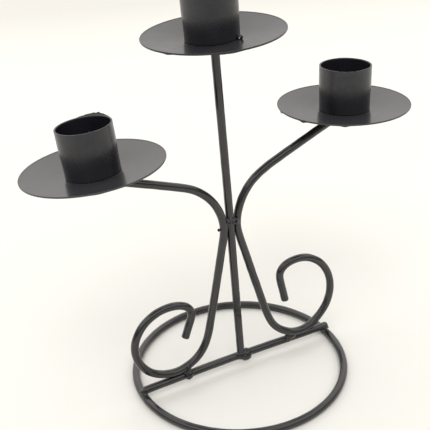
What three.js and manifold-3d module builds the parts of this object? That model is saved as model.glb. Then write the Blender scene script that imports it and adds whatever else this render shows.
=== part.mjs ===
// Three-light tabletop candelabra made of bent and welded round steel wire,
// with a dished drip pan and an open candle cup on each light.
// Millimetres, +Z up.  The origin is on the table top, under the middle of the
// stand's bounding box.  -Y is the front: the side the weld beads are on.
//
// Every separate piece is one named mesh: the wires, the pans, the cups, and
// the weld beads that join them.  Pieces that touch on the real stand keep a
// gap of 0.1 to 0.3 mm here, so that no two solids share space.
import * as THREE from 'three';
import { mergeVertices } from 'three/addons/utils/BufferGeometryUtils.js';
import Module from 'manifold-3d';

const wasm = await Module();
wasm.setup();

// ---------------------------------------------------------------- dimensions
const BASE_WIRE_R = 2.0;      // base ring and crossbar: 4 mm wire
const WIRE_R = 1.9;           // post and scroll arms: 3.8 mm wire
const SIDES = 12;             // facets round a wire
const GAP = 0.3;              // left where a weld bead meets its neighbours

const RING_AX = 53.55;        // centreline half-width of the ring along X
const RING_AY = 56.45;        // and along Y: bent by hand, so slightly oval
const RING_CENTRE = [-1.91, -0.57]; // the bar crosses a little behind its middle
// how far the bent wire stands outside (+) or inside (-) that oval: the mean,
// then the cosine and sine of one, two and three turns
const RING_BEND = [0.238, 0.288, 0.612, -0.022, 0.299, -0.122, 0.022];
const RING_SEGMENTS = 96;

const PAN_R = 32.45;          // drip pan radius, a 65 mm disc
const PAN_SEAT_R = 13.6;      // flat middle that the cup stands on
const PAN_RISE = 2.81;        // the rim stands this much above the seat
const PAN_SHEET = 0.8;
const SEAT_FACE_R = 10.8;     // flat floor inside the cup
const PAN_SEGMENTS = 56;

const CUP_R = 12.5;           // 25 mm tube
const CUP_WALL = 0.8;
const CUP_H = 21.8;           // rim above the pan's seat
const CUP_SEGMENTS = 48;

// All places below are measured from the foot of the post.  This shift brings
// the middle of the bounding box to the origin.
const SHIFT = new THREE.Vector3(-0.32, -0.02, 0);

// facet count to vertex radius that keeps a round wire's cross-section area
const fair = n => Math.sqrt((2 * Math.PI / n) / Math.sin(2 * Math.PI / n));
const RING_VR = BASE_WIRE_R * fair(SIDES);
const RING_APOTHEM = RING_VR * Math.cos(Math.PI / SIDES);
const RING_Z = RING_APOTHEM;                       // flat facet on the table
const BAR_Z = 2 * RING_APOTHEM + 0.1 + RING_APOTHEM; // lies on the ring

// ------------------------------------------------------------------ materials
const paint = (color, roughness) =>
  new THREE.MeshStandardMaterial({ color, roughness, metalness: 0.0 });

// -------------------------------------------------------------------- helpers
const P = (x, y, z) => new THREE.Vector3(x, y, z).add(SHIFT);

function section(r, n = SIDES) {
  const shape = new THREE.Shape();
  const vr = r * fair(n);
  for (let i = 0; i < n; i++) {
    const a = (i + 0.5) * 2 * Math.PI / n;
    if (i === 0) shape.moveTo(vr * Math.cos(a), vr * Math.sin(a));
    else shape.lineTo(vr * Math.cos(a), vr * Math.sin(a));
  }
  shape.closePath();
  return shape;
}

function wire(curve, r, steps, n = SIDES) {
  return new THREE.ExtrudeGeometry(section(r, n), { steps, bevelEnabled: false, extrudePath: curve });
}

// An arm is a flat bend, lying in a plane y = a + b x + c z that is turned a
// little, because the arm was held against the post by hand when it was welded.
function armCurve(points, [a, b, c]) {
  const pts = points.map(([x, z]) => P(x, a + b * x + c * z, z));
  return new THREE.CatmullRomCurve3(pts, false, 'centripetal');
}

function solidOf(geometry) {
  const g = geometry.clone();
  for (const k of Object.keys(g.attributes)) if (k !== 'position') g.deleteAttribute(k);
  const m = mergeVertices(g, 1e-4);
  return new wasm.Manifold(new wasm.Mesh({
    numProp: 3,
    vertProperties: new Float32Array(m.attributes.position.array),
    triVerts: new Uint32Array(m.index.array),
  }));
}

function geometryOf(solid) {
  const mesh = solid.getMesh();
  const g = new THREE.BufferGeometry();
  const pos = new Float32Array(mesh.numVert * 3);
  for (let i = 0; i < mesh.numVert; i++) {
    for (let k = 0; k < 3; k++) pos[3 * i + k] = mesh.vertProperties[i * mesh.numProp + k];
  }
  g.setAttribute('position', new THREE.BufferAttribute(pos, 3));
  g.setIndex(new THREE.BufferAttribute(new Uint32Array(mesh.triVerts), 1));
  g.computeVertexNormals();
  return g;
}

// a rounded bead: an ellipsoid at a point, with half-sizes along X, Y and Z
function bead(x, y, z, rx, ry, rz, turnY = 0) {
  const g = new THREE.SphereGeometry(1, 14, 9);
  g.scale(rx, ry, rz);
  g.rotateY(turnY);
  const p = P(x, y, z);
  g.translate(p.x, p.y, p.z);
  return g;
}

function cutBead(beads, neighbours) {
  let s = solidOf(beads[0]);
  for (const b of beads.slice(1)) s = s.add(solidOf(b));
  for (const n of neighbours) s = s.subtract(n);
  return geometryOf(s);
}

const stand = new THREE.Group();
stand.name = 'three_light_candle_stand';
function add(name, geometry, color = 0x1b1b1d, roughness = 0.35, parent = stand) {
  const mesh = new THREE.Mesh(geometry, paint(color, roughness));
  mesh.name = name;
  parent.add(mesh);
  return mesh;
}

// ------------------------------------------------------------------ base ring
// a round wire hoop lying on the table: a polygon section swept round Z, with
// each section then moved along its own radius to the hand-bent oval
{
  const profile = [];
  for (let i = 0; i <= SIDES; i++) {
    const a = (i + 0.5) * 2 * Math.PI / SIDES;
    profile.push(new THREE.Vector2(RING_AX + RING_VR * Math.cos(a), RING_VR * Math.sin(a)));
  }
  const g = new THREE.LatheGeometry(profile, RING_SEGMENTS);
  g.rotateX(Math.PI / 2);
  const pos = g.attributes.position;
  for (let i = 0; i < pos.count; i++) {
    const x = pos.getX(i), y = pos.getY(i);
    const t = Math.atan2(y, x), c = Math.cos(t), s = Math.sin(t);
    let grow = RING_AX * RING_AY / Math.hypot(RING_AY * c, RING_AX * s) - RING_AX;
    RING_BEND.forEach((b, k) => {
      const turns = Math.ceil(k / 2);
      grow += b * (k % 2 ? Math.cos(turns * t) : k ? Math.sin(turns * t) : 1);
    });
    pos.setXYZ(i, x + grow * c, y + grow * s, pos.getZ(i));
  }
  g.translate(RING_CENTRE[0] + SHIFT.x, RING_CENTRE[1] + SHIFT.y, RING_Z);
  g.computeVertexNormals();
  add('base_ring', g);
}

// ------------------------------------------------------------------- crossbar
// a straight wire laid across the ring, bowed up by 0.1 mm in the middle; its
// left end stops on the ring, its right end is flush with the ring's outside
const barCurve = new THREE.CatmullRomCurve3([
  P(-56.1, -0.45, BAR_Z), P(-28, 0.0, BAR_Z + 0.05), P(0, 0.1, BAR_Z + 0.08),
  P(27, -0.45, BAR_Z + 0.05), P(53.5, -1.05, BAR_Z),
], false, 'centripetal');
add('base_crossbar', wire(barCurve, BASE_WIRE_R, 8));
const barFat = solidOf(wire(barCurve, BASE_WIRE_R + GAP, 8));

// ---------------------------------------------------------------- centre post
// stands on the crossbar, leans 0.7 degrees to the left and is a hair bent
const FOOT_Z = BAR_Z + 0.08 + RING_APOTHEM + 0.15;
const postCurve = new THREE.CatmullRomCurve3([
  P(-0.34, -0.43, FOOT_Z), P(-0.6, -0.36, 40), P(-0.83, -0.29, 70),
  P(-1.22, -0.2, 110), P(-1.72, -0.12, 142), P(-2.2, -0.05, 173.55),
], false, 'centripetal');
add('centre_post', wire(postCurve, WIRE_R, 12));
const postFat = solidOf(wire(postCurve, WIRE_R + GAP, 12));

// ---------------------------------------------------------------- scroll arms
// each is one wire: from under its pan, over a wide bend, down past the post,
// along a straight leg, round the scroll that lies on the crossbar, and into a
// short hook that points down inside the scroll
const LEFT_PLANE = [-1.031, -0.0164, 0.00245];
const LEFT_ARM = [
  [-65.37, 123.91], [-57.57, 121.01], [-50.07, 118.22], [-43.02, 115.73], [-35.98, 113.18],
  [-29.37, 110.73], [-23.46, 108.46], [-18.53, 106.04], [-14.1, 102.73], [-10.52, 98.86],
  [-7.84, 94.63], [-6.04, 90.21], [-5.04, 86], [-4.77, 82.18], [-5.08, 78.59],
  [-5.81, 75.23], [-7.26, 69.23], [-9.03, 61.82], [-10.79, 54.49], [-12.57, 47.18],
  [-14.4, 39.7], [-16.29, 32.2], [-18.47, 24.64], [-21.99, 17.99], [-27.32, 13.23],
  [-32.66, 10.95], [-37.33, 10.25], [-42.3, 10.9], [-48.64, 13.6], [-53.82, 18.81],
  [-56.79, 25.56], [-57.09, 32.5], [-54.81, 38.71], [-50.54, 43.81], [-44.86, 47.11],
  [-38.49, 48.45], [-32.6, 47.83], [-28.29, 45.81], [-26.05, 42.59], [-26.23, 38.97],
  [-27.66, 35.44], [-29.14, 31.86], [-30.57, 28.5],
];
const leftCurve = armCurve(LEFT_ARM, LEFT_PLANE);
add('left_scroll_arm', wire(leftCurve, WIRE_R, 86));
const leftFat = solidOf(wire(leftCurve, WIRE_R + GAP, 86));

const RIGHT_PLANE = [-1.45, -0.0403, 0.0290];
const RIGHT_ARM = [
  [63.12, 124.83], [55.81, 121.93], [48.6, 119.06], [41.45, 116.07], [34.26, 113.1],
  [27.06, 110.06], [20.46, 107], [15.22, 103.85], [11.08, 100.22], [7.91, 96.05],
  [5.57, 91.5], [4.1, 87.21], [3.31, 83.16], [3.32, 79.19], [4.04, 75.11],
  [5.31, 69.91], [6.92, 63.3], [8.59, 56.3], [10.38, 49], [12.24, 41.5],
  [14.1, 33.81], [16.13, 26.29], [19.08, 19.29], [23.99, 14.05], [29.42, 10.95],
  [34.5, 10.15], [39.4, 10.95], [45.67, 14.75], [50.93, 20.57], [53.91, 27.95],
  [54.03, 35.9], [51.38, 43.33], [46.27, 49.21], [39.3, 52.66], [32.6, 52.91],
  [27.7, 51.25], [24.88, 47.72], [24.87, 43.4], [25.63, 39], [26.32, 35],
  [26.95, 31.31],
];
const rightCurve = armCurve(RIGHT_ARM, RIGHT_PLANE);
add('right_scroll_arm', wire(rightCurve, WIRE_R, 86));
const rightFat = solidOf(wire(rightCurve, WIRE_R + GAP, 86));

// ------------------------------------------------------------ pans and cups
// a pan is a pressed disc with a flat seat and a shallow sloping flange; each
// was welded on by hand, so each stands at its own slight tilt
function panGeometry() {
  const slope = PAN_RISE / (PAN_R - PAN_SEAT_R);
  const b = PAN_SHEET;
  const profile = [
    [0, -b], [PAN_SEAT_R + 0.1, -b], [23, (23 - PAN_SEAT_R - 0.1) * slope - b],
    [PAN_R - 0.05, PAN_RISE - b], [PAN_R, PAN_RISE - b + 0.08], [PAN_R, PAN_RISE - 0.08],
    [PAN_R - 0.1, PAN_RISE], [23, (23 - PAN_SEAT_R) * slope], [PAN_SEAT_R, 0], [SEAT_FACE_R, 0], [0, 0],
  ].map(([x, y]) => new THREE.Vector2(x, y));
  const g = new THREE.LatheGeometry(profile, PAN_SEGMENTS);
  g.rotateX(Math.PI / 2);
  return g;
}

function cupGeometry(dx, dy) {
  const r = CUP_R * fair(CUP_SEGMENTS), ri = (CUP_R - CUP_WALL) * fair(CUP_SEGMENTS);
  const profile = [[ri, GAP], [r, GAP], [r, CUP_H], [ri, CUP_H], [ri, GAP]]
    .map(([x, y]) => new THREE.Vector2(x, y));
  const g = new THREE.LatheGeometry(profile, CUP_SEGMENTS);
  g.rotateX(Math.PI / 2);
  g.translate(dx, dy, 0);
  return g;
}

// a tack is a ball of weld in the corner between the cup's foot and the pan
function tackGeometry(dx, dy, angle, r) {
  const a = angle * Math.PI / 180, d = CUP_R + GAP + r * 0.45;
  const g = new THREE.SphereGeometry(r, 14, 9);
  g.rotateX(Math.PI / 2);
  g.translate(dx + d * Math.cos(a), dy + d * Math.sin(a), r * 0.55 + GAP);
  const keepOut = new THREE.CylinderGeometry(CUP_R * fair(48) + GAP, CUP_R * fair(48) + GAP, 20, 48);
  keepOut.rotateX(Math.PI / 2);
  keepOut.translate(dx, dy, 5);
  const floor = new THREE.BoxGeometry(80, 80, 10);
  floor.translate(0, 0, GAP - 5);
  return geometryOf(solidOf(g).subtract(solidOf(keepOut)).subtract(solidOf(floor)));
}

const LIGHTS = [
  { name: 'centre', seat: [-2.14, 0.01, 174.74], up: [-0.0256, -0.0207, 0.9995], cup: [-0.57, 0.31], tack: [-48, 1.3] },
  { name: 'left', seat: [-64.59, 0.34, 126.97], up: [-0.0531, 0.0502, 0.9973], cup: [-0.25, -0.23], tack: [118, 1.2] },
  { name: 'right', seat: [65.25, -0.39, 127.53], up: [0.0358, -0.0085, 0.9993], cup: [0.60, 0.07], tack: [104, 1.2] },
];
const Z_AXIS = new THREE.Vector3(0, 0, 1);
for (const light of LIGHTS) {
  const group = new THREE.Group();
  group.position.copy(P(...light.seat));
  group.quaternion.setFromUnitVectors(Z_AXIS, new THREE.Vector3(...light.up).normalize());
  stand.add(group);
  light.group = group;
  add(`${light.name}_drip_pan`, panGeometry(), 0x1d1d1f, 0.25, group);
  add(`${light.name}_candle_cup`, cupGeometry(...light.cup), 0x1b1b1d, 0.3, group);
  add(`${light.name}_cup_tack_weld`, tackGeometry(...light.cup, ...light.tack), 0x151516, 0.3, group);
}
stand.updateMatrixWorld(true);

// the space of a pan, thickened by the gap, as a neighbour to cut beads with
function panFat(light) {
  const g = new THREE.CylinderGeometry(14, 14, 6, 24);
  g.rotateX(Math.PI / 2);
  g.translate(0, 0, 3 - PAN_SHEET - GAP);
  g.applyMatrix4(light.group.matrixWorld);
  return solidOf(g);
}

// ---------------------------------------------------------------- weld beads
// under the pans: a bead round the end of the wire
add('centre_pan_weld', cutBead([bead(-2.1, 0.0, 172.9, 3.7, 3.5, 2.0)], [postFat, panFat(LIGHTS[0])]), 0x171718, 0.4);
add('left_pan_weld', cutBead([bead(-64.0, 0.1, 124.9, 4.2, 3.0, 2.3, 0.3)], [leftFat, panFat(LIGHTS[1])]), 0x171718, 0.4);
add('right_pan_weld', cutBead([bead(62.6, -0.3, 125.5, 3.9, 3.0, 2.3, -0.35)], [rightFat, panFat(LIGHTS[2])]), 0x171718, 0.4);

// at the waist: two short beads in the grooves between the post and the arms
add('waist_left_weld', cutBead([bead(-2.85, -1.75, 85.3, 1.55, 1.25, 2.3)], [postFat, leftFat]), 0x171718, 0.4);
add('waist_right_weld', cutBead([bead(1.35, -1.3, 84.3, 1.75, 1.35, 1.8)], [postFat, rightFat]), 0x171718, 0.4);

// at the feet: beads that bulge to the front of the crossbar
add('post_foot_weld', cutBead([bead(1.9, -1.3, 6.2, 2.9, 2.3, 2.9)], [postFat, barFat]), 0x171718, 0.4);
add('left_scroll_foot_weld', cutBead([bead(-31.3, -1.8, 7.7, 1.9, 1.9, 3.5)], [leftFat, barFat]), 0x171718, 0.4);
add('right_scroll_foot_weld', cutBead([bead(30.2, -2.15, 7.4, 3.0, 1.7, 2.3)], [rightFat, barFat]), 0x171718, 0.4);

// where the crossbar meets the ring
const ringFat = (() => {
  const profile = [];
  for (let i = 0; i <= SIDES; i++) {
    const a = (i + 0.5) * 2 * Math.PI / SIDES;
    const vr = RING_VR + GAP;
    profile.push(new THREE.Vector2(RING_AX + vr * Math.cos(a), vr * Math.sin(a)));
  }
  const g = new THREE.LatheGeometry(profile, RING_SEGMENTS);
  g.rotateX(Math.PI / 2);
  const pos = g.attributes.position;
  for (let i = 0; i < pos.count; i++) {
    const x = pos.getX(i), y = pos.getY(i);
    const t = Math.atan2(y, x), c = Math.cos(t), s = Math.sin(t);
    let grow = RING_AX * RING_AY / Math.hypot(RING_AY * c, RING_AX * s) - RING_AX;
    RING_BEND.forEach((b, k) => {
      const turns = Math.ceil(k / 2);
      grow += b * (k % 2 ? Math.cos(turns * t) : k ? Math.sin(turns * t) : 1);
    });
    pos.setXYZ(i, x + grow * c, y + grow * s, pos.getZ(i));
  }
  g.translate(RING_CENTRE[0] + SHIFT.x, RING_CENTRE[1] + SHIFT.y, RING_Z);
  return solidOf(g);
})();
add('crossbar_left_weld', cutBead([bead(-55.3, -2.6, 4.4, 2.3, 1.9, 1.8)], [ringFat, barFat]), 0x171718, 0.4);
add('crossbar_right_weld', cutBead([bead(51.0, -3.1, 4.4, 2.3, 1.9, 1.8)], [ringFat, barFat]), 0x171718, 0.4);

// a ball of spatter that stuck to the left arm below the waist
add('spatter_ball', bead(-7.5, -0.9, 82.0, 0.58, 0.58, 0.58), 0x0f0f10, 0.4);

export default stand;
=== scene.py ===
"""Looks of the three-light candle stand: black painted wire, pans and cups, on a pale floor."""

import math

import bmesh
import bpy
import numpy as np
from mathutils import Matrix, Vector


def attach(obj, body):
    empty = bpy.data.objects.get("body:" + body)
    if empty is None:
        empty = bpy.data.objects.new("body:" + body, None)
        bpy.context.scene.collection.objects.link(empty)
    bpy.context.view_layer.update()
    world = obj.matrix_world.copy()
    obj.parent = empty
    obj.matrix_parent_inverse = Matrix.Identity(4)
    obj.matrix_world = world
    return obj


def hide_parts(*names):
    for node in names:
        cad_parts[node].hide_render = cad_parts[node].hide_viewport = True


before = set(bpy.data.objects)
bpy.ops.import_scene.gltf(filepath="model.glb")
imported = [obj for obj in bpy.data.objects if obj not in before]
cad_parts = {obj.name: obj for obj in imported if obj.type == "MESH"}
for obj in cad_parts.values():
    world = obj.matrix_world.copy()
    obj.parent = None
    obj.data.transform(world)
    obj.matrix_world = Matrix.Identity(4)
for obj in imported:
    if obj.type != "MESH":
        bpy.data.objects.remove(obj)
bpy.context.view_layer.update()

# ------------------------------------------------------------------ dimensions
# millimetres here; every mesh is made in metres by piece()
BASE_WIRE_R = 2.0
WIRE_R = 1.9
RING_AX, RING_AY = 53.55, 56.45
RING_CENTRE = (-1.91, -0.57)
RING_BEND = (0.238, 0.288, 0.612, -0.022, 0.299, -0.122, 0.022)  # mean, then cosine and sine of one to three turns
PAINTED_R = WIRE_R + 0.1  # the wire with its baked paint
BAR_Z = 6.0307
FOOT_Z = 8.24
PAN_R = 32.45
PAN_SEAT_R = 13.6
PAN_RISE = 2.81
PAN_SHEET = 0.8
CUP_R = 12.5
CUP_WALL = 0.8
CUP_H = 21.8
SHIFT = np.array([-0.32, -0.02, 0.0])


def P(x, y, z):
    return np.array([x, y, z], float) + SHIFT


# --------------------------------------------------------------------- helpers
def random_field(seed, wavelength, waves=24):
    """A smooth random field of unit variance: waves of about one wavelength in every direction."""
    g = np.random.default_rng(seed)
    k = g.normal(size=(waves, 3))
    k *= 2 * np.pi / wavelength * g.uniform(0.6, 1.5, (waves, 1)) / np.linalg.norm(k, axis=1, keepdims=True)
    phase = g.uniform(0, 2 * np.pi, waves)
    return lambda p: np.sin(np.asarray(p) @ k.T + phase).sum(-1) / math.sqrt(waves / 2)


def spline(points, step=0.4, smooth=1.1):
    """A natural cubic spline through the points, sampled every step mm, then smoothed a little."""
    p = np.asarray(points, float)
    t = np.concatenate([[0], np.cumsum(np.linalg.norm(np.diff(p, axis=0), axis=1) ** 0.75)])
    n = len(p)
    h = np.diff(t)
    a = np.zeros((n, n))
    b = np.zeros((n, 3))
    a[0, 0] = a[-1, -1] = 1
    for i in range(1, n - 1):
        a[i, i - 1], a[i, i], a[i, i + 1] = h[i - 1], 2 * (h[i - 1] + h[i]), h[i]
        b[i] = 6 * ((p[i + 1] - p[i]) / h[i] - (p[i] - p[i - 1]) / h[i - 1])
    m = np.linalg.solve(a, b)
    out = []
    for i in range(n - 1):
        u = np.linspace(0, 1, 60, endpoint=i == n - 2)[:, None]
        out.append((1 - u) * p[i] + u * p[i + 1]
                   + h[i] ** 2 / 6 * (((1 - u) ** 3 - (1 - u)) * m[i] + (u ** 3 - u) * m[i + 1]))
    c = np.concatenate(out)
    c = along(c, np.linspace(0, length_of(c), int(length_of(c) / step) + 1))
    if smooth:
        w = int(4 * smooth / step)
        k = np.exp(-0.5 * (np.arange(-w, w + 1) * step / smooth) ** 2)
        k /= k.sum()
        head = 2 * c[0] - c[w:0:-1]
        tail = 2 * c[-1] - c[-2:-w - 2:-1]
        padded = np.concatenate([head, c, tail])
        c = np.stack([np.convolve(padded[:, i], k, "valid") for i in range(3)], -1)
    return c


def length_of(c):
    return float(np.linalg.norm(np.diff(c, axis=0), axis=1).sum())


def along(c, s):
    """Points of the polyline c at the lengths s."""
    t = np.concatenate([[0], np.cumsum(np.linalg.norm(np.diff(c, axis=0), axis=1))])
    return np.stack([np.interp(s, t, c[:, i]) for i in range(3)], -1)


def travelling_frames(c):
    t = np.gradient(c, axis=0)
    t /= np.linalg.norm(t, axis=1, keepdims=True)
    n = np.empty_like(c)
    v = np.cross(t[0], [0, 1, 0] if abs(t[0][1]) < 0.9 else [1, 0, 0])
    n[0] = v / np.linalg.norm(v)
    for i in range(1, len(c)):
        v = n[i - 1] - t[i] * (n[i - 1] @ t[i])
        n[i] = v / np.linalg.norm(v)
    return t, n, np.cross(t, n)


def grid_faces(rows, cols, wrap_rows=False):
    """Quads of a grid of rows x cols vertices that closes on itself along its columns."""
    last = rows if wrap_rows else rows - 1
    return [(i * cols + j, i * cols + (j + 1) % cols, (i + 1) % rows * cols + (j + 1) % cols, (i + 1) % rows * cols + j)
            for i in range(last) for j in range(cols)]


def tube(c, r, sides=32, edge=0.35, seed=1, uneven=0.018, wave=7.0, crown=0.06):
    """A wire along c: rounded cut ends, and a surface that is a little uneven."""
    total = length_of(c)
    a = np.linspace(0, np.pi / 2, 6)
    head = edge * (1 - np.cos(a))
    body = np.linspace(edge, total - edge, int((total - 2 * edge) / 0.45) + 1)[1:-1]
    s = np.concatenate([head, body, (total - head)[::-1]])
    radius = np.full(len(s), float(r))
    radius[:6] = r - edge + edge * np.sin(a)
    radius[-6:] = radius[:6][::-1]
    p = along(c, s)
    t, n, b = travelling_frames(p)
    th = np.arange(sides) * 2 * np.pi / sides
    ring = n[:, None] * np.cos(th)[None, :, None] + b[:, None] * np.sin(th)[None, :, None]
    v = p[:, None] + ring * radius[:, None, None]
    v = v + ring * (uneven * random_field(seed, wave)(v))[..., None]
    rows = len(s)
    verts = list(v.reshape(-1, 3))
    faces = grid_faces(rows, sides)
    for end, sign in ((0, -1), (rows - 1, 1)):
        base = end * sides
        centre = v[end].mean(0)
        previous = [base + j for j in range(sides)]
        for share in (0.66, 0.33):
            first = len(verts)
            verts += [centre + (v[end, j] - centre) * share + sign * t[end] * crown * (1 - share ** 2) for j in range(sides)]
            now = [first + j for j in range(sides)]
            faces += [(previous[j], previous[(j + 1) % sides], now[(j + 1) % sides], now[j]) for j in range(sides)]
            previous = now
        verts.append(centre + sign * t[end] * crown)
        faces += [(previous[j], previous[(j + 1) % sides], len(verts) - 1) for j in range(sides)]
    return np.array(verts), faces


def revolve(profile, turns, closed):
    """profile(angles) gives radii and heights, each of shape (points, angles). closed profiles meet themselves, others end on the axis."""
    th = np.arange(turns) * 2 * np.pi / turns
    r, z = profile(th)
    v = np.stack([r * np.cos(th), r * np.sin(th), z], -1)
    rows = len(r)
    faces = grid_faces(rows, turns, wrap_rows=closed)
    verts = v.reshape(-1, 3)
    if not closed:
        tips = np.stack([v[0].mean(0), v[-1].mean(0)])
        n = len(verts)
        faces += [(j, (j + 1) % turns, n) for j in range(turns)]
        base = (rows - 1) * turns
        faces += [(base + j, base + (j + 1) % turns, n + 1) for j in range(turns)]
        verts = np.concatenate([verts, tips])
    return verts, faces


def turned_up(up):
    return np.array(Vector((0, 0, 1)).rotation_difference(Vector(up)).to_matrix())


# signed distances for the weld beads, negative inside
def ellipsoid(centre, half, turn=(0, 0, 0)):
    m = np.array((Matrix.Rotation(turn[2], 3, "Z") @ Matrix.Rotation(turn[1], 3, "Y") @ Matrix.Rotation(turn[0], 3, "X")))
    centre, half = np.asarray(centre, float), np.asarray(half, float)

    def d(p):
        q = (p - centre) @ m
        k0 = np.linalg.norm(q / half, axis=-1)
        k1 = np.linalg.norm(q / half ** 2, axis=-1) + 1e-9
        return k0 * (k0 - 1) / k1
    return d


def near_wire(c, r, centre, reach):
    """The wire c near a point, as a distance field."""
    keep = np.linalg.norm(c - centre, axis=1) < reach
    first, last = np.flatnonzero(keep)[[0, -1]]
    c = c[max(first - 1, 0):last + 2:3] if last - first > 8 else c[first:last + 1]

    def d(p):
        best = np.full(len(p), 1e9)
        for a, b in zip(c[:-1], c[1:]):
            ab = b - a
            u = np.clip((p - a) @ ab / (ab @ ab), 0, 1)
            best = np.minimum(best, np.linalg.norm(p - a - u[:, None] * ab, axis=1))
        return best - r
    return d


def smin(a, b, k):
    h = np.maximum(k - np.abs(a - b), 0) / k
    return np.minimum(a, b) - h * h * k / 4


def smax(a, b, k):
    return -smin(-a, -b, k)


def polygons_of(field, lo, hi, step):
    """The surface where the field is zero, as a closed mesh of quads (naive surface nets)."""
    lo, hi = np.asarray(lo, float), np.asarray(hi, float)
    n = np.ceil((hi - lo) / step).astype(int) + 1
    axes = [lo[i] + step * np.arange(n[i]) for i in range(3)]
    grid = np.stack(np.meshgrid(*axes, indexing="ij"), -1)
    v = field(grid.reshape(-1, 3)).reshape(n)
    v[[0, -1]] = v[:, [0, -1]] = v[:, :, [0, -1]] = step
    inside = v < 0
    cut = [inside[i:n[0] - 1 + i, j:n[1] - 1 + j, k:n[2] - 1 + k] for i in (0, 1) for j in (0, 1) for k in (0, 1)]
    count = np.sum(cut, axis=0)
    active = (count > 0) & (count < 8)
    index = np.full(active.shape, -1)
    cells = np.argwhere(active)
    index[active] = np.arange(len(cells))
    total, hits = np.zeros((len(cells), 3)), np.zeros(len(cells))
    for axis in range(3):
        step_a = np.eye(3, dtype=int)[axis]
        others = [np.eye(3, dtype=int)[k] for k in range(3) if k != axis]
        for i in (0, 1):
            for j in (0, 1):
                a = cells + i * others[0] + j * others[1]
                b = a + step_a
                va, vb = v[tuple(a.T)], v[tuple(b.T)]
                crossing = (va < 0) != (vb < 0)
                u = np.where(crossing, va / np.where(crossing, va - vb, 1), 0)
                total[crossing] += (a + u[:, None] * step_a)[crossing]
                hits[crossing] += 1
    verts = lo + step * total / hits[:, None]
    faces = []
    for axis in range(3):
        step_a = np.eye(3, dtype=int)[axis]
        u, w = [np.eye(3, dtype=int)[k] for k in ((axis + 1) % 3, (axis + 2) % 3)]
        base = np.argwhere(inside[:n[0] - step_a[0], :n[1] - step_a[1], :n[2] - step_a[2]]
                           != inside[step_a[0]:, step_a[1]:, step_a[2]:])
        solid_first = inside[tuple(base.T)]
        quad = np.stack([index[tuple((base - u - w).T)], index[tuple((base - w).T)],
                         index[tuple(base.T)], index[tuple((base - u).T)]], -1)
        quad[~solid_first] = quad[~solid_first][:, ::-1]
        faces += [tuple(int(x) for x in q) for q in quad]
    return verts, faces


def relax(verts, faces, rounds=2, amount=0.5):
    edges = np.array([(a, b) for f in faces for a, b in zip(f, f[1:] + f[:1])])
    n = np.bincount(edges[:, 0], minlength=len(verts)) + np.bincount(edges[:, 1], minlength=len(verts))
    for _ in range(rounds):
        total = np.zeros_like(verts)
        np.add.at(total, edges[:, 0], verts[edges[:, 1]])
        np.add.at(total, edges[:, 1], verts[edges[:, 0]])
        verts = verts + amount * (total / n[:, None] - verts)
    return verts


# ------------------------------------------------------------------- materials
def node(tree, kind, **inputs):
    n = tree.nodes.new(kind)
    for key, value in inputs.items():
        if key in n.inputs:
            n.inputs[key].default_value = value
        else:
            setattr(n, key, value)
    return n


def ramp(tree, factor, stops):
    r = tree.nodes.new("ShaderNodeValToRGB")
    r.color_ramp.interpolation = "LINEAR"
    while len(r.color_ramp.elements) < len(stops):
        r.color_ramp.elements.new(0.5)
    for element, (where, colour) in zip(r.color_ramp.elements, stops):
        element.position = where
        element.color = (*colour, 1) if len(colour) == 3 else colour
    tree.links.new(factor, r.inputs["Fac"])
    return r.outputs["Color"]


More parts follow.
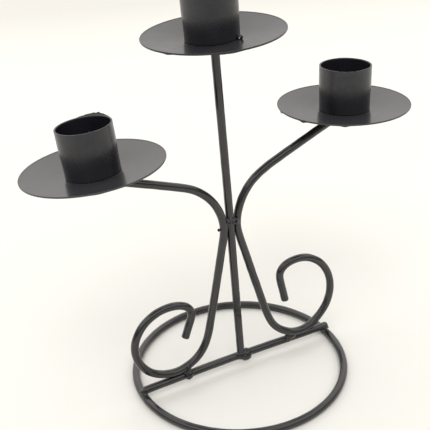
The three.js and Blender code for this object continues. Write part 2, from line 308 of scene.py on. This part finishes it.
def paint(name, dark, light, rough, peel=(900, 0.02), grit=(4200, 0.006), blotch=160, ior=1.5, glint=None):
    """Black enamel: two close blacks in soft patches, gloss that varies, orange peel and fine grit.
    glint is (place, radius) in metres: a light grey spot painted on as a highlight."""
    m = bpy.data.materials.new(name)
    m.use_nodes = True
    t = m.node_tree
    t.nodes.clear()
    out = t.nodes.new("ShaderNodeOutputMaterial")
    s = t.nodes.new("ShaderNodeBsdfPrincipled")
    t.links.new(s.outputs["BSDF"], out.inputs["Surface"])
    s.inputs["IOR"].default_value = ior
    where = t.nodes.new("ShaderNodeTexCoord").outputs["Object"]
    patches = node(t, "ShaderNodeTexNoise", Scale=blotch, Detail=3.0, Roughness=0.55)
    t.links.new(where, patches.inputs["Vector"])
    base = ramp(t, patches.outputs["Fac"], [(0.35, dark), (0.68, light)])
    # painted highlight: a light grey spot mixed into the base colour
    if glint:
        far_off = t.nodes.new("ShaderNodeVectorMath")
        far_off.operation = "DISTANCE"
        t.links.new(where, far_off.inputs[0])
        far_off.inputs[1].default_value = glint[0]
        inside = node(t, "ShaderNodeMapRange", **{"From Min": 0.7 * glint[1], "From Max": 1.1 * glint[1], "To Min": 1.0, "To Max": 0.0})
        t.links.new(far_off.outputs["Value"], inside.inputs["Value"])
        both = t.nodes.new("ShaderNodeMix")
        both.data_type = "RGBA"
        colours = [i for i in both.inputs if i.type == "RGBA"]
        t.links.new(inside.outputs["Result"], both.inputs["Factor"])
        t.links.new(base, colours[0])
        colours[1].default_value = (0.62, 0.62, 0.64, 1)
        base = [o for o in both.outputs if o.type == "RGBA"][0]
    t.links.new(base, s.inputs["Base Color"])
    gloss = node(t, "ShaderNodeTexNoise", Scale=blotch * 3.3, Detail=2.0, Roughness=0.5)
    t.links.new(where, gloss.inputs["Vector"])
    spread = node(t, "ShaderNodeMapRange", **{"From Min": 0.3, "From Max": 0.7, "To Min": rough[0], "To Max": rough[1]})
    t.links.new(gloss.outputs["Fac"], spread.inputs["Value"])
    t.links.new(spread.outputs["Result"], s.inputs["Roughness"])
    coarse = node(t, "ShaderNodeTexNoise", Scale=peel[0], Detail=1.0, Roughness=0.4)
    fine = node(t, "ShaderNodeTexNoise", Scale=grit[0], Detail=2.0, Roughness=0.5)
    t.links.new(where, coarse.inputs["Vector"])
    t.links.new(where, fine.inputs["Vector"])
    b1 = node(t, "ShaderNodeBump", Strength=1.0, Distance=peel[1] * 0.001)
    b2 = node(t, "ShaderNodeBump", Strength=1.0, Distance=grit[1] * 0.001)
    t.links.new(coarse.outputs["Fac"], b1.inputs["Height"])
    t.links.new(fine.outputs["Fac"], b2.inputs["Height"])
    t.links.new(b1.outputs["Normal"], b2.inputs["Normal"])
    t.links.new(b2.outputs["Normal"], s.inputs["Normal"])
    return m


WIRE = paint("wire_paint", (0.008, 0.008, 0.0092), (0.016, 0.016, 0.0182), (0.14, 0.24), peel=(520, 0.03), grit=(2600, 0.007), ior=1.60)
# one pan paint in three copies, one per pan: the centre pan's copy has a darker base colour as painted shade, and the
# copies also differ in how strongly they reflect
PAN = paint("pan_paint", (0.027, 0.027, 0.0305), (0.034, 0.034, 0.0375), (0.17, 0.23), peel=(420, 0.008), grit=(2600, 0.001), blotch=60, ior=1.47)
LOW_PAN = paint("pan_paint_low", (0.027, 0.027, 0.0305), (0.034, 0.034, 0.0375), (0.17, 0.23), peel=(420, 0.008), grit=(2600, 0.001), blotch=60, ior=1.55)
SHADED_HIGH_PAN = paint("pan_paint_high_shaded", (0.023, 0.023, 0.026), (0.030, 0.030, 0.033), (0.18, 0.24), peel=(420, 0.008), grit=(2600, 0.001), blotch=60, ior=1.37)
CUP = paint("cup_paint", (0.0085, 0.0082, 0.0120), (0.0135, 0.013, 0.0175), (0.25, 0.33), peel=(420, 0.010), grit=(2600, 0.0008), blotch=90, ior=1.58)
WELD = paint("weld_paint", (0.003, 0.003, 0.0035), (0.013, 0.013, 0.016), (0.13, 0.23), peel=(1100, 0.07), grit=(3600, 0.006), blotch=900, ior=1.56)
# the waist beads' paint runs from near black to a much lighter grey in small patches: partly the beads' mottled tone,
# partly painted glints that stand in for their highlights
WAIST_WELD_AND_GLINTS = paint("waist_weld_paint_and_glints", (0.001, 0.001, 0.002), (0.050, 0.049, 0.060), (0.12, 0.22), peel=(1100, 0.10), grit=(3600, 0.006), blotch=1300, ior=1.62)
SPATTER = paint("spatter_paint", (0.002, 0.002, 0.002), (0.005, 0.005, 0.005), (0.24, 0.34), peel=(1100, 0.05), ior=1.4)


# ---------------------------------------------------------------------- pieces
def piece(cad_node, verts, faces, material, slot):
    me = bpy.data.meshes.new(cad_node + "_surface")
    me.from_pydata((np.asarray(verts) * 0.001).tolist(), [], faces)
    me.validate()
    bm = bmesh.new()
    bm.from_mesh(me)
    bmesh.ops.recalc_face_normals(bm, faces=bm.faces)
    if bm.calc_volume(signed=True) < 0:
        bmesh.ops.reverse_faces(bm, faces=bm.faces)
    for f in bm.faces:
        f.smooth = True
    bm.to_mesh(me)
    bm.free()
    me.materials.append(material)
    ob = bpy.data.objects.new("painted_" + cad_node, me)
    bpy.context.scene.collection.objects.link(ob)
    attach(ob, "root")
    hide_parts(cad_node)
    return ob


# ---- the wires
def ring_radius(t):
    r = RING_AX * RING_AY / np.hypot(RING_AY * np.cos(t), RING_AX * np.sin(t)) + RING_BEND[0]
    for k in (1, 2, 3):
        r = r + RING_BEND[2 * k - 1] * np.cos(k * t) + RING_BEND[2 * k] * np.sin(k * t)
    return r


turn = np.linspace(0, 2 * np.pi, 1801)
hoop = np.stack([RING_CENTRE[0] + SHIFT[0] + ring_radius(turn) * np.cos(turn),
                 RING_CENTRE[1] + SHIFT[1] + ring_radius(turn) * np.sin(turn), np.full(len(turn), BASE_WIRE_R)], -1)
stations = along(hoop, np.linspace(0, length_of(hoop), 721))[:-1]
angle = np.arctan2(stations[:, 1] - RING_CENTRE[1] - SHIFT[1], stations[:, 0] - RING_CENTRE[0] - SHIFT[0])
outward = np.stack([np.cos(angle), np.sin(angle), 0 * angle], -1)
th = np.arange(32) * 2 * np.pi / 32
rim = outward[:, None] * np.cos(th)[None, :, None] + np.array([0, 0, 1.0]) * np.sin(th)[None, :, None]
v = stations[:, None] + rim * BASE_WIRE_R
v = v + rim * (0.016 * random_field(11, 8.0)(v))[..., None]
v[..., 2] = np.maximum(v[..., 2], 0.0)
piece("base_ring", v.reshape(-1, 3), grid_faces(len(stations), 32, wrap_rows=True), WIRE, "wire_paint")

bar = spline([P(-56.1, -0.45, BAR_Z), P(-28, 0.0, BAR_Z + 0.05), P(0, 0.1, BAR_Z + 0.04),
              P(27, -0.45, BAR_Z - 0.05), P(53.1, -1.05, BAR_Z)], smooth=0)
piece("base_crossbar", *tube(bar, BASE_WIRE_R, seed=12, edge=1.5), WIRE, "wire_paint")

post = spline([P(-0.34, -0.43, FOOT_Z), P(-0.6, -0.36, 40), P(-0.83, -0.29, 70), P(-1.22, -0.2, 110),
               P(-1.72, -0.12, 142), P(-2.2, -0.05, 173.55)], smooth=0)
piece("centre_post", *tube(post, PAINTED_R, seed=13), WIRE, "wire_paint")


def flat_bend(points, plane):
    return spline([P(x, plane[0] + plane[1] * x + plane[2] * z, z) for x, z in points])


left_arm = flat_bend([
    (-65.37, 123.91), (-57.57, 121.01), (-50.07, 118.22), (-43.02, 115.73), (-35.98, 113.18),
    (-29.37, 110.73), (-23.46, 108.46), (-18.53, 106.04), (-14.1, 102.73), (-10.52, 98.86),
    (-7.84, 94.63), (-6.04, 90.21), (-5.04, 86), (-4.77, 82.18), (-5.08, 78.59),
    (-5.81, 75.23), (-7.26, 69.23), (-9.03, 61.82), (-10.79, 54.49), (-12.57, 47.18),
    (-14.4, 39.7), (-16.29, 32.2), (-18.47, 24.64), (-21.99, 17.99), (-27.32, 13.23),
    (-32.66, 10.95), (-37.33, 10.25), (-42.3, 10.9), (-48.64, 13.6), (-53.82, 18.81),
    (-56.79, 25.56), (-57.09, 32.5), (-54.81, 38.71), (-50.54, 43.81), (-44.86, 47.11),
    (-38.49, 48.45), (-32.6, 47.83), (-28.29, 45.81), (-26.05, 42.59), (-26.23, 38.97),
    (-27.66, 35.44), (-29.14, 31.86), (-30.57, 28.5)], (-1.031, -0.0164, 0.00245))
piece("left_scroll_arm", *tube(left_arm, PAINTED_R, seed=14, edge=0.3), WIRE, "wire_paint")

right_arm = flat_bend([
    (63.12, 124.83), (55.81, 121.93), (48.6, 119.06), (41.45, 116.07), (34.26, 113.1),
    (27.06, 110.06), (20.46, 107), (15.22, 103.85), (11.08, 100.22), (7.91, 96.05),
    (5.57, 91.5), (4.1, 87.21), (3.31, 83.16), (3.32, 79.19), (4.04, 75.11),
    (5.31, 69.91), (6.92, 63.3), (8.59, 56.3), (10.38, 49), (12.24, 41.5),
    (14.1, 33.81), (16.13, 26.29), (19.08, 19.29), (23.99, 14.05), (29.42, 10.95),
    (34.5, 10.15), (39.4, 10.95), (45.67, 14.75), (50.93, 20.57), (53.91, 27.95),
    (54.03, 35.9), (51.38, 43.33), (46.27, 49.21), (39.3, 52.66), (32.6, 52.91),
    (27.7, 51.25), (24.88, 47.72), (24.87, 43.4), (25.63, 39), (26.32, 35),
    (26.95, 31.31)], (-1.45, -0.0403, 0.0290))
piece("right_scroll_arm", *tube(right_arm, PAINTED_R, seed=15, edge=0.35), WIRE, "wire_paint")


# ---- the pans: pressed discs with a flat seat, a shallow flange and a raw edge
def wrapped(angles, centre):
    return (angles - math.radians(centre) + np.pi) % (2 * np.pi) - np.pi


LIP = 0.2  # the cut edge stands this much above the flange
EDGE = 0.58  # and is rounded, a little thinner than the sheet


def pan_profile(warp, drips):
    """drips: (angle in degrees, half-width in degrees, depth in mm) of paint hanging from the edge."""
    slope = PAN_RISE / (PAN_R - PAN_SEAT_R)

    def height(r):
        u = np.clip((r - PAN_SEAT_R) / (PAN_R - PAN_SEAT_R), 0, None)
        knee = 1.6
        raw = (r - PAN_SEAT_R) * slope
        soft = np.where(r < PAN_SEAT_R - knee, 0, np.where(r > PAN_SEAT_R + knee, raw, slope * (r - PAN_SEAT_R + knee) ** 2 / (4 * knee)))
        return soft + 0 * u

    def profile(th):
        inner = np.concatenate([np.linspace(0.6, 11, 6), np.linspace(12, 17, 12), np.linspace(18, PAN_R - 2.0, 16),
                                np.linspace(PAN_R - 1.6, PAN_R - 0.4, 7)])
        e = 0.26
        a = np.linspace(0, np.pi / 2, 6)
        top = [(r, 0.0) for r in inner] + [(PAN_R - e + e * math.sin(x), -e * (1 - math.cos(x))) for x in a]
        under = [(PAN_R - 0.02 - e * (1 - math.cos(x)), -EDGE + e - e * math.sin(x)) for x in a]
        under += [(PAN_R - 1.0, -0.5 * (EDGE + PAN_SHEET)), (PAN_R - 2.2, -PAN_SHEET)]
        under += [(r, -PAN_SHEET) for r in inner[::-1] if r < PAN_R - 2.4]
        rows_r, rows_z = [], []
        sag = sum(depth * np.exp(-(wrapped(th, where) / math.radians(width)) ** 2) for where, width, depth in drips) + 0 * th
        for i, (r, drop) in enumerate(top + under):
            z = height(np.array(r)) + drop + 0 * th
            if i < len(top):
                z = z + LIP * np.clip((r - PAN_R + 1.3) / 1.05, 0, 1) ** 3
            z = z + warp[0] * (r / PAN_R) ** 2 * np.cos(2 * (th - warp[1])) + warp[2] * (r / PAN_R) ** 3 * np.cos(3 * (th - warp[3]))
            if i >= len(top):
                near_edge = max(0.0, 1 - (PAN_R - r) / 1.1)
                z = z - sag * near_edge
            rows_r.append(r + 0 * th + (0.12 * sag * (r > PAN_R - 0.5) if i >= len(top) - 3 else 0))
            rows_z.append(z)
        return np.array(rows_r), np.array(rows_z)
    return profile


LIGHTS = {
    "centre": dict(seat=(-2.14, 0.01, 174.74), up=(-0.0256, -0.0207, 0.9995), cup=(-0.57, 0.31), tack=(-51, 1.3)),
    "left": dict(seat=(-64.59, 0.34, 126.97), up=(-0.0531, 0.0502, 0.9973), cup=(-0.25, -0.23), tack=(118, 1.2)),
    "right": dict(seat=(65.25, -0.39, 127.53), up=(0.0358, -0.0085, 0.9993), cup=(0.60, 0.07), tack=(104, 1.2)),
}
PAN_WARP = {"centre": (0.05, 0.4, 0.04, 1.0), "left": (0.05, 1.3, 0.04, 0.2), "right": (0.05, 2.2, 0.04, 2.0)}
PAN_DRIPS = {
    "centre": [(207, 3.0, 0.35), (249, 4.0, 0.25), (257, 6.0, 0.4), (120, 5, 0.3)],
    "left": [(255, 5.0, 0.2), (60, 5.0, 0.3)],
    "right": [(169, 2.5, 0.65), (200, 2.5, 0.70), (236.5, 2.8, 0.55), (20, 4, 0.3)],
}


def cup_profile(rim):
    """rim(th) gives, round the cup: the burr's height outside the rim, the rim's own rise, and how far it leans out."""
    def profile(th):
        burr, rise, lean = rim(th)
        rows = []

        def row(r, z):
            rows.append((r + 0 * th, z + 0 * th))
        for r, z in [(CUP_R - 0.36, -0.05), (CUP_R - 0.30, 0.02), (CUP_R - 0.16, 0.10), (CUP_R - 0.05, 0.24), (CUP_R, 0.45), (CUP_R, 0.85)]:
            row(r, z)
        for z in np.linspace(1.6, CUP_H - 2.2, 22):
            row(CUP_R, z)
        for share in (0.25, 0.5, 0.75):
            row(CUP_R + lean * share ** 2, CUP_H - 2.2 + share * 1.9 + rise * share ** 2)
        top = CUP_H + rise
        out = lean + 0.40 * burr
        row(CUP_R + lean, top - 0.30)
        row(CUP_R + lean + 0.24 * burr, top - 0.13 + 0.5 * burr)
        row(CUP_R + out - 0.03, top - 0.05 + 0.92 * burr)
        row(CUP_R + out - 0.10, top + burr)
        row(CUP_R + out - 0.17, top - 0.01 + 0.92 * burr)
        row(CUP_R + lean - 0.22 + 0.2 * burr, top + 0.4 * burr)
        row(CUP_R + lean - 0.28, top + 0.02)
        row(CUP_R - 0.44 + lean, top + 0.02)
        row(CUP_R - 0.60 + lean, top - 0.03)
        row(CUP_R - 0.73 + lean, top - 0.12)
        row(CUP_R - CUP_WALL + lean, top - 0.30)
        for share in (0.75, 0.5, 0.25):
            row(CUP_R - CUP_WALL + lean * share ** 2, CUP_H - 2.2 + share * 1.9 + rise * share ** 2)
        for z in np.linspace(CUP_H - 2.2, 1.4, 20):
            row(CUP_R - CUP_WALL, z)
        for r, z in [(0, 0.7), (0, 0.3), (0.06, 0.1), (0.18, 0.0), (0.26, -0.05)]:
            row(CUP_R - CUP_WALL + r, z)
        return np.array([r for r, z in rows]), np.array([z for r, z in rows])
    return profile


def bumps(th, *items):
    """Sum of smooth bumps: (angle in degrees, half-width in degrees, height)."""
    return sum(h * np.exp(-(wrapped(th, where) / math.radians(width)) ** 2) for where, width, h in items) + 0 * th


def rim_left(th):
    where = np.radians([-4, 6, 14, 22, 30, 35, 39, 43, 47, 52, 57, 62, 67, 73, 79, 86])
    high = [0, 0.10, 0.30, 0.55, 0.80, 1.05, 1.18, 0.98, 1.08, 0.88, 0.92, 0.66, 0.60, 0.34, 0.26, 0]
    t = (th + np.pi) % (2 * np.pi) - np.pi
    burr = np.interp(t, where, high, left=0, right=0)
    burr = burr * (1 + 0.04 * np.sin(61 * th) + 0.04 * np.sin(97 * th + 2) + 0.09 * np.sin(29 * th + 1))
    return burr, bumps(th, (265, 2.0, 0.22), (180, 50, 0.05)), 0 * th


def rim_right(th):
    near = np.exp(-(wrapped(th, 243) / math.radians(24)) ** 4)
    return near * (0.10 + 0.09 * np.sin(23 * th) + 0.06 * np.sin(41 * th + 1)), -0.10 * near + bumps(th, (60, 20, 0.08)), 0.10 * near


def rim_centre(th):
    return 0 * th, 0.05 * np.sin(3 * th), 0 * th


CUP_RIM = {"centre": rim_centre, "left": rim_left, "right": rim_right}

for name, light in LIGHTS.items():
    rot = turned_up(light["up"])
    seat = P(*light["seat"])
    verts, faces = revolve(pan_profile(PAN_WARP[name], PAN_DRIPS[name]), 256, closed=False)
    piece(f"{name}_drip_pan", verts @ rot.T + seat, faces, {"centre": SHADED_HIGH_PAN, "left": LOW_PAN, "right": PAN}[name], "pan_paint")
    verts, faces = revolve(cup_profile(CUP_RIM[name]), 360, closed=True)
    offset = np.array([*light["cup"], 0.0])
    verts = verts + offset
    out = verts.copy()
    wavy = random_field(hash_seed := {"centre": 21, "left": 22, "right": 23}[name], 14.0)(verts)
    radial = verts - offset
    radial[:, 2] = 0
    radial /= np.linalg.norm(radial, axis=1, keepdims=True)
    share = np.clip((verts[:, 2] - 3.0) / 12.0, 0, 1)
    narrowed = -0.19 + 0.28 * share * share * (3 - 2 * share)
    out += radial * (0.02 * wavy + narrowed)[:, None]
    piece(f"{name}_candle_cup", out @ rot.T + seat, faces, CUP, "cup_paint")
    # the tack between cup and pan: a ball of weld against the cup's foot
    a, r = math.radians(light["tack"][0]), light["tack"][1]
    d = CUP_R + r * 0.45
    c = offset + np.array([d * math.cos(a), d * math.sin(a), r * (0.72 if name == "centre" else 1.0)])
    lump = random_field(31 + hash_seed, 1.6)
    def tack(p, c=c, r=r, offset=offset, lump=lump):
        ball = ellipsoid(c, (r, r, r))(p)
        wall = np.abs(np.linalg.norm((p - offset)[:, :2], axis=1) - (CUP_R - 0.6)) - 0.42
        d = smin(ball, wall, 0.3) + 0.03 * lump(p)
        return smax(d, np.linalg.norm(p - c, axis=1) - r * 1.4, 0.2)
    verts, faces = polygons_of(tack, c - 2.4 * r, c + 2.4 * r, 0.1)
    bead_paint = WELD
    if name == "centre":  # a painted highlight: a light grey spot on the one tack that faces the front
        spot = (rot @ (c + r * np.array([-0.60, -0.785, -0.147])) + seat) * 0.001
        bead_paint = paint("weld_paint_painted_glint", (0.004, 0.004, 0.005), (0.016, 0.016, 0.018), (0.18, 0.28), peel=(1100, 0.05), ior=1.55,
                           glint=(tuple(float(x) for x in spot), 0.00040))
    piece(f"{name}_cup_tack_weld", relax(verts, faces) @ rot.T + seat, faces, bead_paint, "weld_paint")


# ---- the weld beads
def weld(cad_node, blobs, wires, region, blend=0.9, seed=1, lumps=0.06, wave=2.2, step=0.13, carve=(), slabs=(), coat=WELD):
    """A bead: rounded blobs that run smoothly into the wires they join. region is (centre, half-sizes) of what is kept."""
    centre, half = np.asarray(region[0], float), np.asarray(region[1], float)
    reach = float(np.linalg.norm(half)) + 2
    fields = [near_wire(c, r - 0.035, centre, reach) for c, r in wires]
    lump = random_field(seed, wave)
    bound = ellipsoid(centre, half)

    def field(p):
        d = blobs[0](p)
        for b in blobs[1:]:
            d = smin(d, b(p), 0.8)
        d = d + lumps * lump(p)
        for f in fields:
            d = smin(d, f(p), blend)
        for f in slabs:
            d = smin(d, f(p), blend)
        for f in carve:
            d = smax(d, -f(p), 0.25)
        return smax(d, bound(p), 0.3)
    verts, faces = polygons_of(field, centre - half - 0.5, centre + half + 0.5, step)
    return piece(cad_node, relax(verts, faces), faces, coat, "weld_paint")


def pan_underside(name):
    light = LIGHTS[name]
    rot, seat = turned_up(light["up"]), P(*light["seat"])

    def d(p):
        q = (p - seat) @ rot
        return np.maximum(np.abs(q[:, 2] + 0.4) - 0.37, np.linalg.norm(q[:, :2], axis=1) - 9)
    return d


def above_pan(name):
    """Everything above the middle of the pan's sheet, so that a bead never shows inside the cup."""
    light = LIGHTS[name]
    rot, seat = turned_up(light["up"]), P(*light["seat"])
    return lambda p: -(((p - seat) @ rot)[:, 2] + 0.45)


weld("centre_pan_weld", [ellipsoid(P(-2.1, 0.0, 172.9), (3.5, 3.3, 1.7)), ellipsoid(P(-0.6, -1.6, 172.6), (1.6, 1.4, 1.3))],
     [(post, PAINTED_R)], (P(-2.1, 0, 172.7), (5.8, 5.6, 3.9)), seed=41, slabs=[pan_underside("centre")], carve=[above_pan("centre")], step=0.16)
weld("left_pan_weld", [ellipsoid(P(-64.0, 0.1, 124.9), (4.0, 2.8, 2.1), (0, 0.3, 0))],
     [(left_arm, PAINTED_R)], (P(-63.8, 0.1, 124.9), (6.2, 5.0, 4.0)), seed=42, slabs=[pan_underside("left")], carve=[above_pan("left")], step=0.16)
weld("right_pan_weld", [ellipsoid(P(62.6, -0.3, 125.5), (3.7, 2.8, 2.1), (0, -0.35, 0))],
     [(right_arm, PAINTED_R)], (P(62.6, -0.3, 125.5), (6.0, 5.0, 4.0)), seed=43, slabs=[pan_underside("right")], carve=[above_pan("right")], step=0.16)

weld("waist_left_weld", [ellipsoid(P(-3.05, -2.0, 86.5), (1.25, 1.1, 1.0)), ellipsoid(P(-2.55, -2.2, 84.9), (1.05, 1.0, 0.75)),
                         ellipsoid(P(-3.2, -1.8, 83.2), (0.75, 0.9, 0.7))],
     [(post, PAINTED_R), (left_arm, PAINTED_R)], (P(-2.9, -1.1, 85.0), (3.6, 3.8, 4.6)), seed=44, blend=0.45, lumps=0.10, wave=1.3, step=0.12, coat=WAIST_WELD_AND_GLINTS,
     carve=[ellipsoid(P(-3.4, -3.2, 85.65), (1.3, 1.1, 0.36), (0, 0.35, 0)), ellipsoid(P(-2.6, -3.1, 83.95), (1.1, 1.0, 0.3)),
            ellipsoid(P(-4.3, -2.6, 87.0), (0.5, 0.8, 0.9))])
weld("waist_right_weld", [ellipsoid(P(1.15, -1.9, 84.9), (1.85, 1.5, 1.7)), ellipsoid(P(2.3, -1.5, 83.3), (0.9, 0.9, 0.8))],
     [(post, PAINTED_R), (right_arm, PAINTED_R)], (P(1.3, -1.0, 84.5), (3.8, 3.8, 4.4)), seed=45, blend=0.45, lumps=0.08, wave=1.3, step=0.12, coat=WAIST_WELD_AND_GLINTS,
     carve=[ellipsoid(P(0.8, -3.4, 85.2), (0.85, 1.3, 0.6)), ellipsoid(P(1.3, -3.3, 83.75), (1.5, 1.0, 0.34)),
            ellipsoid(P(-0.9, -2.8, 84.6), (0.35, 0.8, 1.2))])
weld("post_foot_weld", [ellipsoid(P(2.0, -1.5, 6.0), (3.3, 2.4, 3.1)), ellipsoid(P(-1.0, -1.8, 6.6), (2.4, 1.5, 1.9)),
                        ellipsoid(P(2.7, -0.7, 7.8), (1.8, 1.7, 1.7)), ellipsoid(P(-1.7, -1.5, 7.8), (1.2, 1.1, 1.0))],
     [(post, PAINTED_R), (bar, BASE_WIRE_R)], (P(0.9, -1.1, 6.8), (6.8, 4.8, 5.4)), seed=46, step=0.15, blend=0.7, lumps=0.09, wave=1.8)
weld("left_scroll_foot_weld", [ellipsoid(P(-31.3, -2.1, 6.8), (2.4, 1.8, 2.4)), ellipsoid(P(-31.2, -2.1, 10.4), (1.4, 1.5, 3.0))],
     [(left_arm, PAINTED_R), (bar, BASE_WIRE_R)], (P(-31.2, -1.4, 8.6), (4.8, 4.4, 6.4)), seed=57, step=0.15, blend=0.45, lumps=0.06, wave=2.2,
     carve=[ellipsoid(P(-33.9, -3.0, 8.4), (0.7, 1.3, 1.9))])
weld("right_scroll_foot_weld", [ellipsoid(P(27.7, -2.0, 7.9), (1.9, 1.5, 3.1)), ellipsoid(P(30.6, -1.9, 8.2), (2.1, 1.4, 2.0))],
     [(right_arm, PAINTED_R), (bar, BASE_WIRE_R)], (P(29.2, -1.3, 8.0), (5.2, 4.0, 5.2)), seed=48, step=0.15, blend=0.4)
weld("crossbar_left_weld", [ellipsoid(P(-55.9, -2.3, 4.3), (1.5, 1.4, 1.4))],
     [(hoop, BASE_WIRE_R), (bar, BASE_WIRE_R)], (P(-55.9, -1.9, 4.2), (3.3, 3.3, 3.3)), seed=49, step=0.14, blend=0.5)
weld("crossbar_right_weld", [ellipsoid(P(50.9, -2.4, 4.3), (1.3, 1.2, 1.3))],
     [(hoop, BASE_WIRE_R), (bar, BASE_WIRE_R)], (P(50.5, -2.2, 4.1), (2.9, 3.2, 3.1)), seed=50, step=0.14, blend=0.45)

bump = random_field(51, 0.8)
spot = P(-7.6, -0.9, 82.15)
verts, faces = polygons_of(lambda p: ellipsoid(spot, (0.70, 0.70, 0.80))(p) + 0.015 * bump(p), spot - 1.3, spot + 1.3, 0.07)
piece("spatter_ball", relax(verts, faces), faces, SPATTER, "weld_paint")

# ---------------------------------------------------------------------- camera
F_PX, CX, CY = 849.595, 214.938, 214.870
az, el, roll = math.radians(-25.028), math.radians(25.958), math.radians(-4.655)
back = np.array([math.sin(az) * math.cos(el), -math.cos(az) * math.cos(el), math.sin(el)])
fw = -back
right = np.cross(fw, [0, 0, 1.0])
right /= np.linalg.norm(right)
up = np.cross(right, fw)
r2 = math.cos(roll) * right + math.sin(roll) * up
u2 = -math.sin(roll) * right + math.cos(roll) * up
cam = bpy.data.cameras.new("camera")
cam.sensor_fit = "HORIZONTAL"
cam.sensor_width = 36
cam.lens = F_PX * 36 / 430
cam.shift_x = (215 - CX) / 430
cam.shift_y = (CY - 215) / 430
cam.clip_start = 0.01
cam.clip_end = 50
cam_ob = bpy.data.objects.new("camera", cam)
bpy.context.scene.collection.objects.link(cam_ob)
m = np.eye(4)
m[:3, 0], m[:3, 1], m[:3, 2], m[:3, 3] = r2, u2, -fw, np.array([-0.1631294, -0.3303974, 0.267787])
cam_ob.matrix_world = Matrix(m.tolist())
bpy.context.scene.camera = cam_ob

# ----------------------------------------------------------------------- floor
FLOOR_TONE = 0.675


def node_out(tree, value, low, high):
    """value from low..high brought to 0..1"""
    r = node(tree, "ShaderNodeMapRange", **{"From Min": low, "From Max": high})
    tree.links.new(value, r.inputs["Value"])
    return r.outputs["Result"]


me = bpy.data.meshes.new("floor")
bm = bmesh.new()
bmesh.ops.create_grid(bm, x_segments=24, y_segments=24, size=4.0)
bm.to_mesh(me)
bm.free()
floor_mat = bpy.data.materials.new("pale_sheet")
floor_mat.use_nodes = True
ft = floor_mat.node_tree
fs = ft.nodes["Principled BSDF"]
fs.inputs["Roughness"].default_value = 0.9
fs.inputs["Specular IOR Level"].default_value = 0.1
where = ft.nodes.new("ShaderNodeTexCoord").outputs["Object"]
soft = node(ft, "ShaderNodeTexNoise", Scale=3.0, Detail=1.0)
ft.links.new(where, soft.inputs["Vector"])
sheet = ramp(ft, soft.outputs["Fac"], [(0.3, (FLOOR_TONE, FLOOR_TONE * 0.990, FLOOR_TONE * 0.960)), (0.7, (FLOOR_TONE * 1.01, FLOOR_TONE, FLOOR_TONE * 0.970))])
# painted shade: the sheet's colour is darkened far behind the stand and close before it, where the light falls off
away = node(ft, "ShaderNodeVectorMath")
away.operation = "DOT_PRODUCT"
away.inputs[1].default_value = (-math.sin(az), math.cos(az), 0)
ft.links.new(where, away.inputs[0])
painted_falloff_shade = ramp(ft, node_out(ft, away.outputs["Value"], -1.0, 1.0), [(0.05, (0.62, 0.62, 0.62)), (0.26, (0.95, 0.95, 0.95)), (0.33, (1, 1, 1)),
              (0.79, (1, 1, 1)), (0.87, (0.965, 0.962, 0.955)), (0.96, (0.87, 0.862, 0.85))])
tint = ft.nodes.new("ShaderNodeVectorMath")
tint.operation = "MULTIPLY"
ft.links.new(sheet, tint.inputs[0])
ft.links.new(painted_falloff_shade, tint.inputs[1])
ft.links.new(tint.outputs["Vector"], fs.inputs["Base Color"])
me.materials.append(floor_mat)
floor = bpy.data.objects.new("floor", me)
bpy.context.scene.collection.objects.link(floor)

# ----------------------------------------------------------------------- light
# a soft tent: bright all round and above, with a dark strip low down at the camera's side
world = bpy.data.worlds.new("tent")
bpy.context.scene.world = world
world.use_nodes = True
wt = world.node_tree
wt.nodes.clear()
w_out = wt.nodes.new("ShaderNodeOutputWorld")
w_bg = wt.nodes.new("ShaderNodeBackground")
wt.links.new(w_bg.outputs["Background"], w_out.inputs["Surface"])
direction = wt.nodes.new("ShaderNodeTexCoord").outputs["Generated"]
split = wt.nodes.new("ShaderNodeSeparateXYZ")
wt.links.new(direction, split.inputs["Vector"])
ahead = wt.nodes.new("ShaderNodeVectorMath")
ahead.operation = "DOT_PRODUCT"
ahead.inputs[1].default_value = (-math.sin(az), math.cos(az), 0)
wt.links.new(direction, ahead.inputs[0])


def grey(x, warm=0.0):
    return (x, x * (1 - 0.3 * warm), x * (1 - warm))


TOP = 4.0  # the ramps hold values up to 1, and are multiplied by this


def levels(stops):
    return ramp(wt, split.outputs["Z"], [(z, grey(v / TOP, 0.06)) for z, v in stops])


far = levels([(0.0, 0.68), (0.09, 0.82), (0.17, 0.94), (0.26, 1.06), (0.34, 1.18), (0.42, 1.28), (0.50, 1.42), (0.60, 1.55), (0.75, 1.5), (0.9, 1.35), (1.0, 1.3)])
close = levels([(0.0, 0.3), (0.06, 0.2), (0.28, 0.2), (0.38, 0.7), (0.50, 1.35), (0.75, 1.5), (0.9, 1.35), (1.0, 1.3)])
side = node(wt, "ShaderNodeMapRange", **{"From Min": 0.05, "From Max": 0.65})
side.interpolation_type = "SMOOTHSTEP"
wt.links.new(ahead.outputs["Value"], side.inputs["Value"])
mix = wt.nodes.new("ShaderNodeMix")
mix.data_type = "RGBA"
wt.links.new(side.outputs["Result"], mix.inputs["Factor"])
wt.links.new(close, mix.inputs["A"])
wt.links.new(far, mix.inputs["B"])
colour_inputs = [s for s in mix.inputs if s.type == "RGBA"]
wt.links.new(close, colour_inputs[0])
wt.links.new(far, colour_inputs[1])
wt.links.new([s for s in mix.outputs if s.type == "RGBA"][0], w_bg.inputs["Color"])
w_bg.inputs["Strength"].default_value = TOP

# two wide soft lights, high before and high behind
for name, lean, energy in (("front_softbox", 36, 1.05), ("back_softbox", -42, 0.22)):
    lamp = bpy.data.lights.new(name, "SUN")
    lamp.angle = math.radians(34)
    lamp.energy = energy
    lamp.color = (1.0, 0.985, 0.95)
    lamp_ob = bpy.data.objects.new(name, lamp)
    bpy.context.scene.collection.objects.link(lamp_ob)
    tilt = math.radians(lean)
    towards = Vector((math.sin(az) * math.sin(tilt), -math.cos(az) * math.sin(tilt), math.cos(tilt)))
    lamp_ob.rotation_euler = Vector((0, 0, 1)).rotation_difference(towards).to_euler()
    lamp_ob.location = (0, 0, 1)
    lamp_ob.visible_glossy = False

scene = bpy.context.scene
scene.view_settings.view_transform = "Standard"
scene.view_settings.look = "None"
